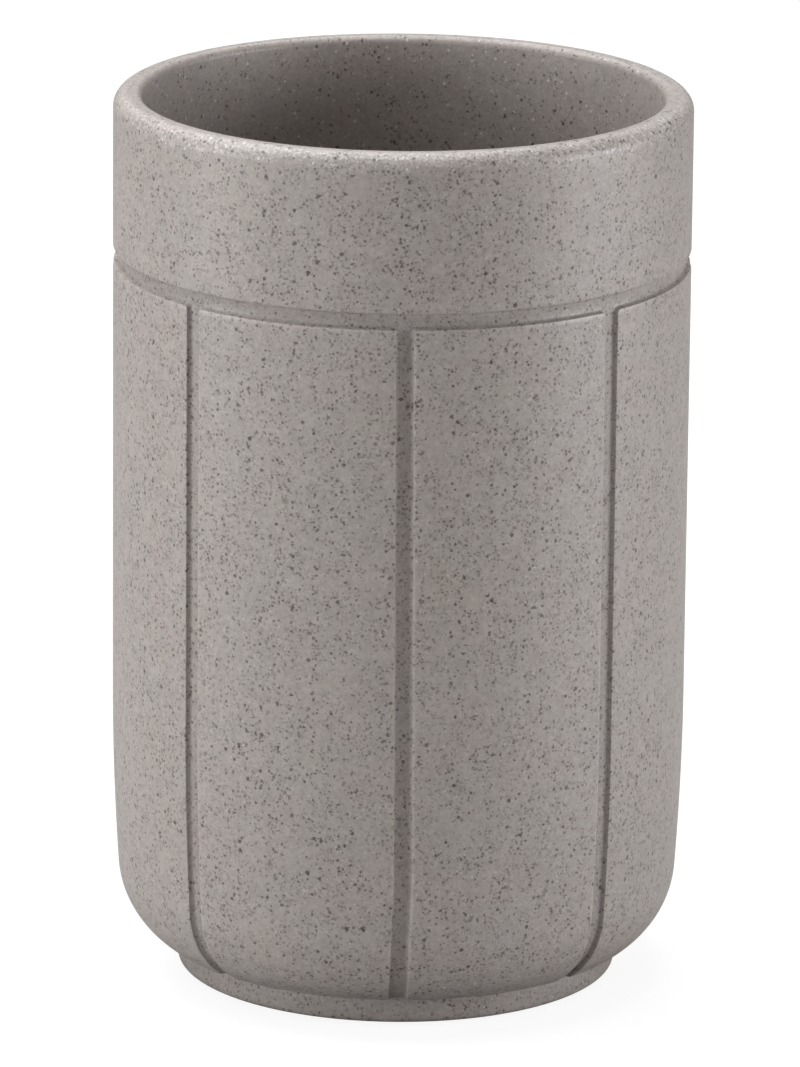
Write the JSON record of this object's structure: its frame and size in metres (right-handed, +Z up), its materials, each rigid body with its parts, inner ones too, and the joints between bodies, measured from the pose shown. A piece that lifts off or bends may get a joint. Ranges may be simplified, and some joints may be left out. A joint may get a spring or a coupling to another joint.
{
  "type": "bathroom tumbler",
  "caption": "Round stone-effect bathroom tumbler with a plain rim band, a ring groove, upright grooves that part its wall into panels, a rounded lower corner and a padded foot.",
  "frame": {"origin": "on the tumbler's axis, at the height of the pads' lower faces, which it stands on", "axes": "+Z up along the axis, through the open rim; -Y towards the front, where one upright groove faces"},
  "size_m": [0.075, 0.075, 0.1176],
  "materials": {
    "stone_body": "matt, speckled",
    "pad_foam": "matt"
  },
  "bodies": {
    "root": {"tumbler_body": "stone_body", "front_left_pad": "pad_foam", "front_right_pad": "pad_foam", "back_right_pad": "pad_foam", "back_left_pad": "pad_foam"}
  },
  "joints": []
}
